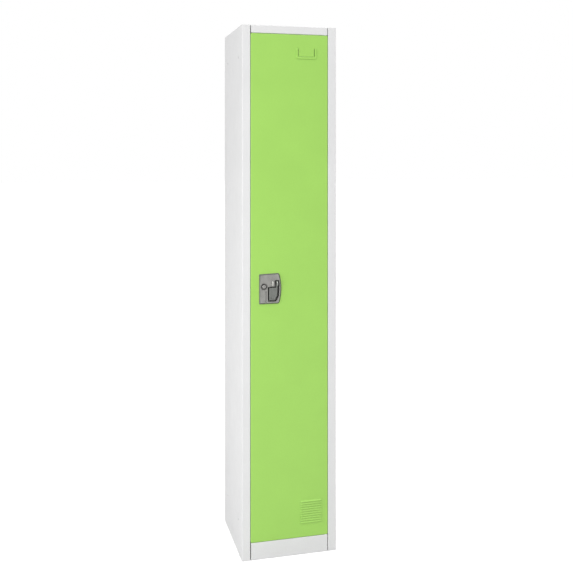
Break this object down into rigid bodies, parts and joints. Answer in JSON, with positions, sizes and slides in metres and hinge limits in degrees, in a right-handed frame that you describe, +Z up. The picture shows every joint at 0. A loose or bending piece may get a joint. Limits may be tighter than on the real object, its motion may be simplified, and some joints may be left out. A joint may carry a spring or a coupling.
{
  "type": "school locker",
  "caption": "Tall single-door steel school locker with a green door, recessed key-lock handle, louvres, card frame, hat shelf and coat hooks.",
  "frame": {"origin": "on the floor under the middle of the overall plan, from the tips of the padlock ears to the rear screw heads", "axes": "+Z up, the door faces -Y, and the hinges are on the +X side"},
  "size_m": [0.335, 0.3532, 1.829],
  "materials": {
    "body_paint": "light grey semi-gloss powder coat with fine orange peel",
    "door_paint": "bright green semi-gloss powder coat with fine orange peel",
    "inner_paint": "light grey powder coat",
    "zinc_housing": "grey satin lacquered die casting",
    "zinc_handle": "darker grey satin die casting",
    "bright_cylinder": "satin nickel plate",
    "dark_cylinder": "blackened zinc casting",
    "zinc_plated": "zinc plated steel",
    "spring_steel": "bare spring steel",
    "hook_plate": "nickel plated cast hook",
    "nylon": "natural nylon",
    "rubber": "black rubber"
  },
  "bodies": {
    "carcass": {"left_side_panel": "body_paint", "right_side_panel": "body_paint", "back_panel": "body_paint", "top_panel": "body_paint", "bottom_panel": "body_paint", "hat_shelf": "inner_paint", "left_shelf_bracket": "inner_paint", "right_shelf_bracket": "inner_paint", "ceiling_hook": "hook_plate", "left_coat_hook": "hook_plate", "right_coat_hook": "hook_plate", "upper_frame_hinge_bracket": "inner_paint", "lower_frame_hinge_bracket": "inner_paint", "upper_hinge_pin": "zinc_plated", "lower_hinge_pin": "zinc_plated", "spring_keeper": "spring_steel", "door_bumpers": "rubber", "top_panel_screws": "zinc_plated", "kick_plate_screws": "zinc_plated", "kick_plate_spacers": "zinc_plated", "back_panel_screws": "zinc_plated", "shelf_screws": "zinc_plated", "hook_rivets": "zinc_plated", "keeper_rivets": "zinc_plated"},
    "door": {"door_panel": "door_paint", "door_stiffener": "door_paint", "lower_door_hinge_bracket": "door_paint", "upper_door_hinge_bracket": "door_paint", "lower_hinge_bush": "nylon", "upper_hinge_bush": "nylon", "lock_housing": "zinc_housing", "lock_backplate": "zinc_plated", "lock_screws": "zinc_plated", "cylinder_barrel": "dark_cylinder", "cylinder_nut": "zinc_plated", "handle_pin": "zinc_plated", "latch_guide": "zinc_plated", "latch_spring": "spring_steel"},
    "key": {"cylinder_plug": "bright_cylinder", "lock_cam": "zinc_plated", "cam_screw": "zinc_plated"},
    "handle": {"pull_handle": "zinc_handle"},
    "latch": {"latch_tongue": "zinc_plated"}
  },
  "joints": [
    {"name": "door_swing", "type": "hinge", "parent": "carcass", "child": "door", "pos_m": [0.12955, -0.155, 0.9], "axis": [0, 0, 1], "range_deg": [0, 110], "deforming": ["spring_keeper"]},
    {"name": "key_turn", "type": "hinge", "parent": "door", "child": "key", "pos_m": [-0.0914, -0.1606, 0.933], "axis": [0, -1, 0], "range_deg": [0, 90]},
    {"name": "handle_pull", "type": "hinge", "parent": "door", "child": "handle", "pos_m": [-0.072, -0.1576, 0.9025], "axis": [0, 0, -1], "range_deg": [0, 30]},
    {"name": "latch_retract", "type": "slide", "parent": "door", "child": "latch", "axis": [1, 0, 0], "range_m": [0, 0.0107], "deforming": ["latch_spring"]}
  ],
  "couplings": [
    {"joint": "latch_retract", "follows": "handle_pull", "m_per_rad": 0.020054}
  ]
}
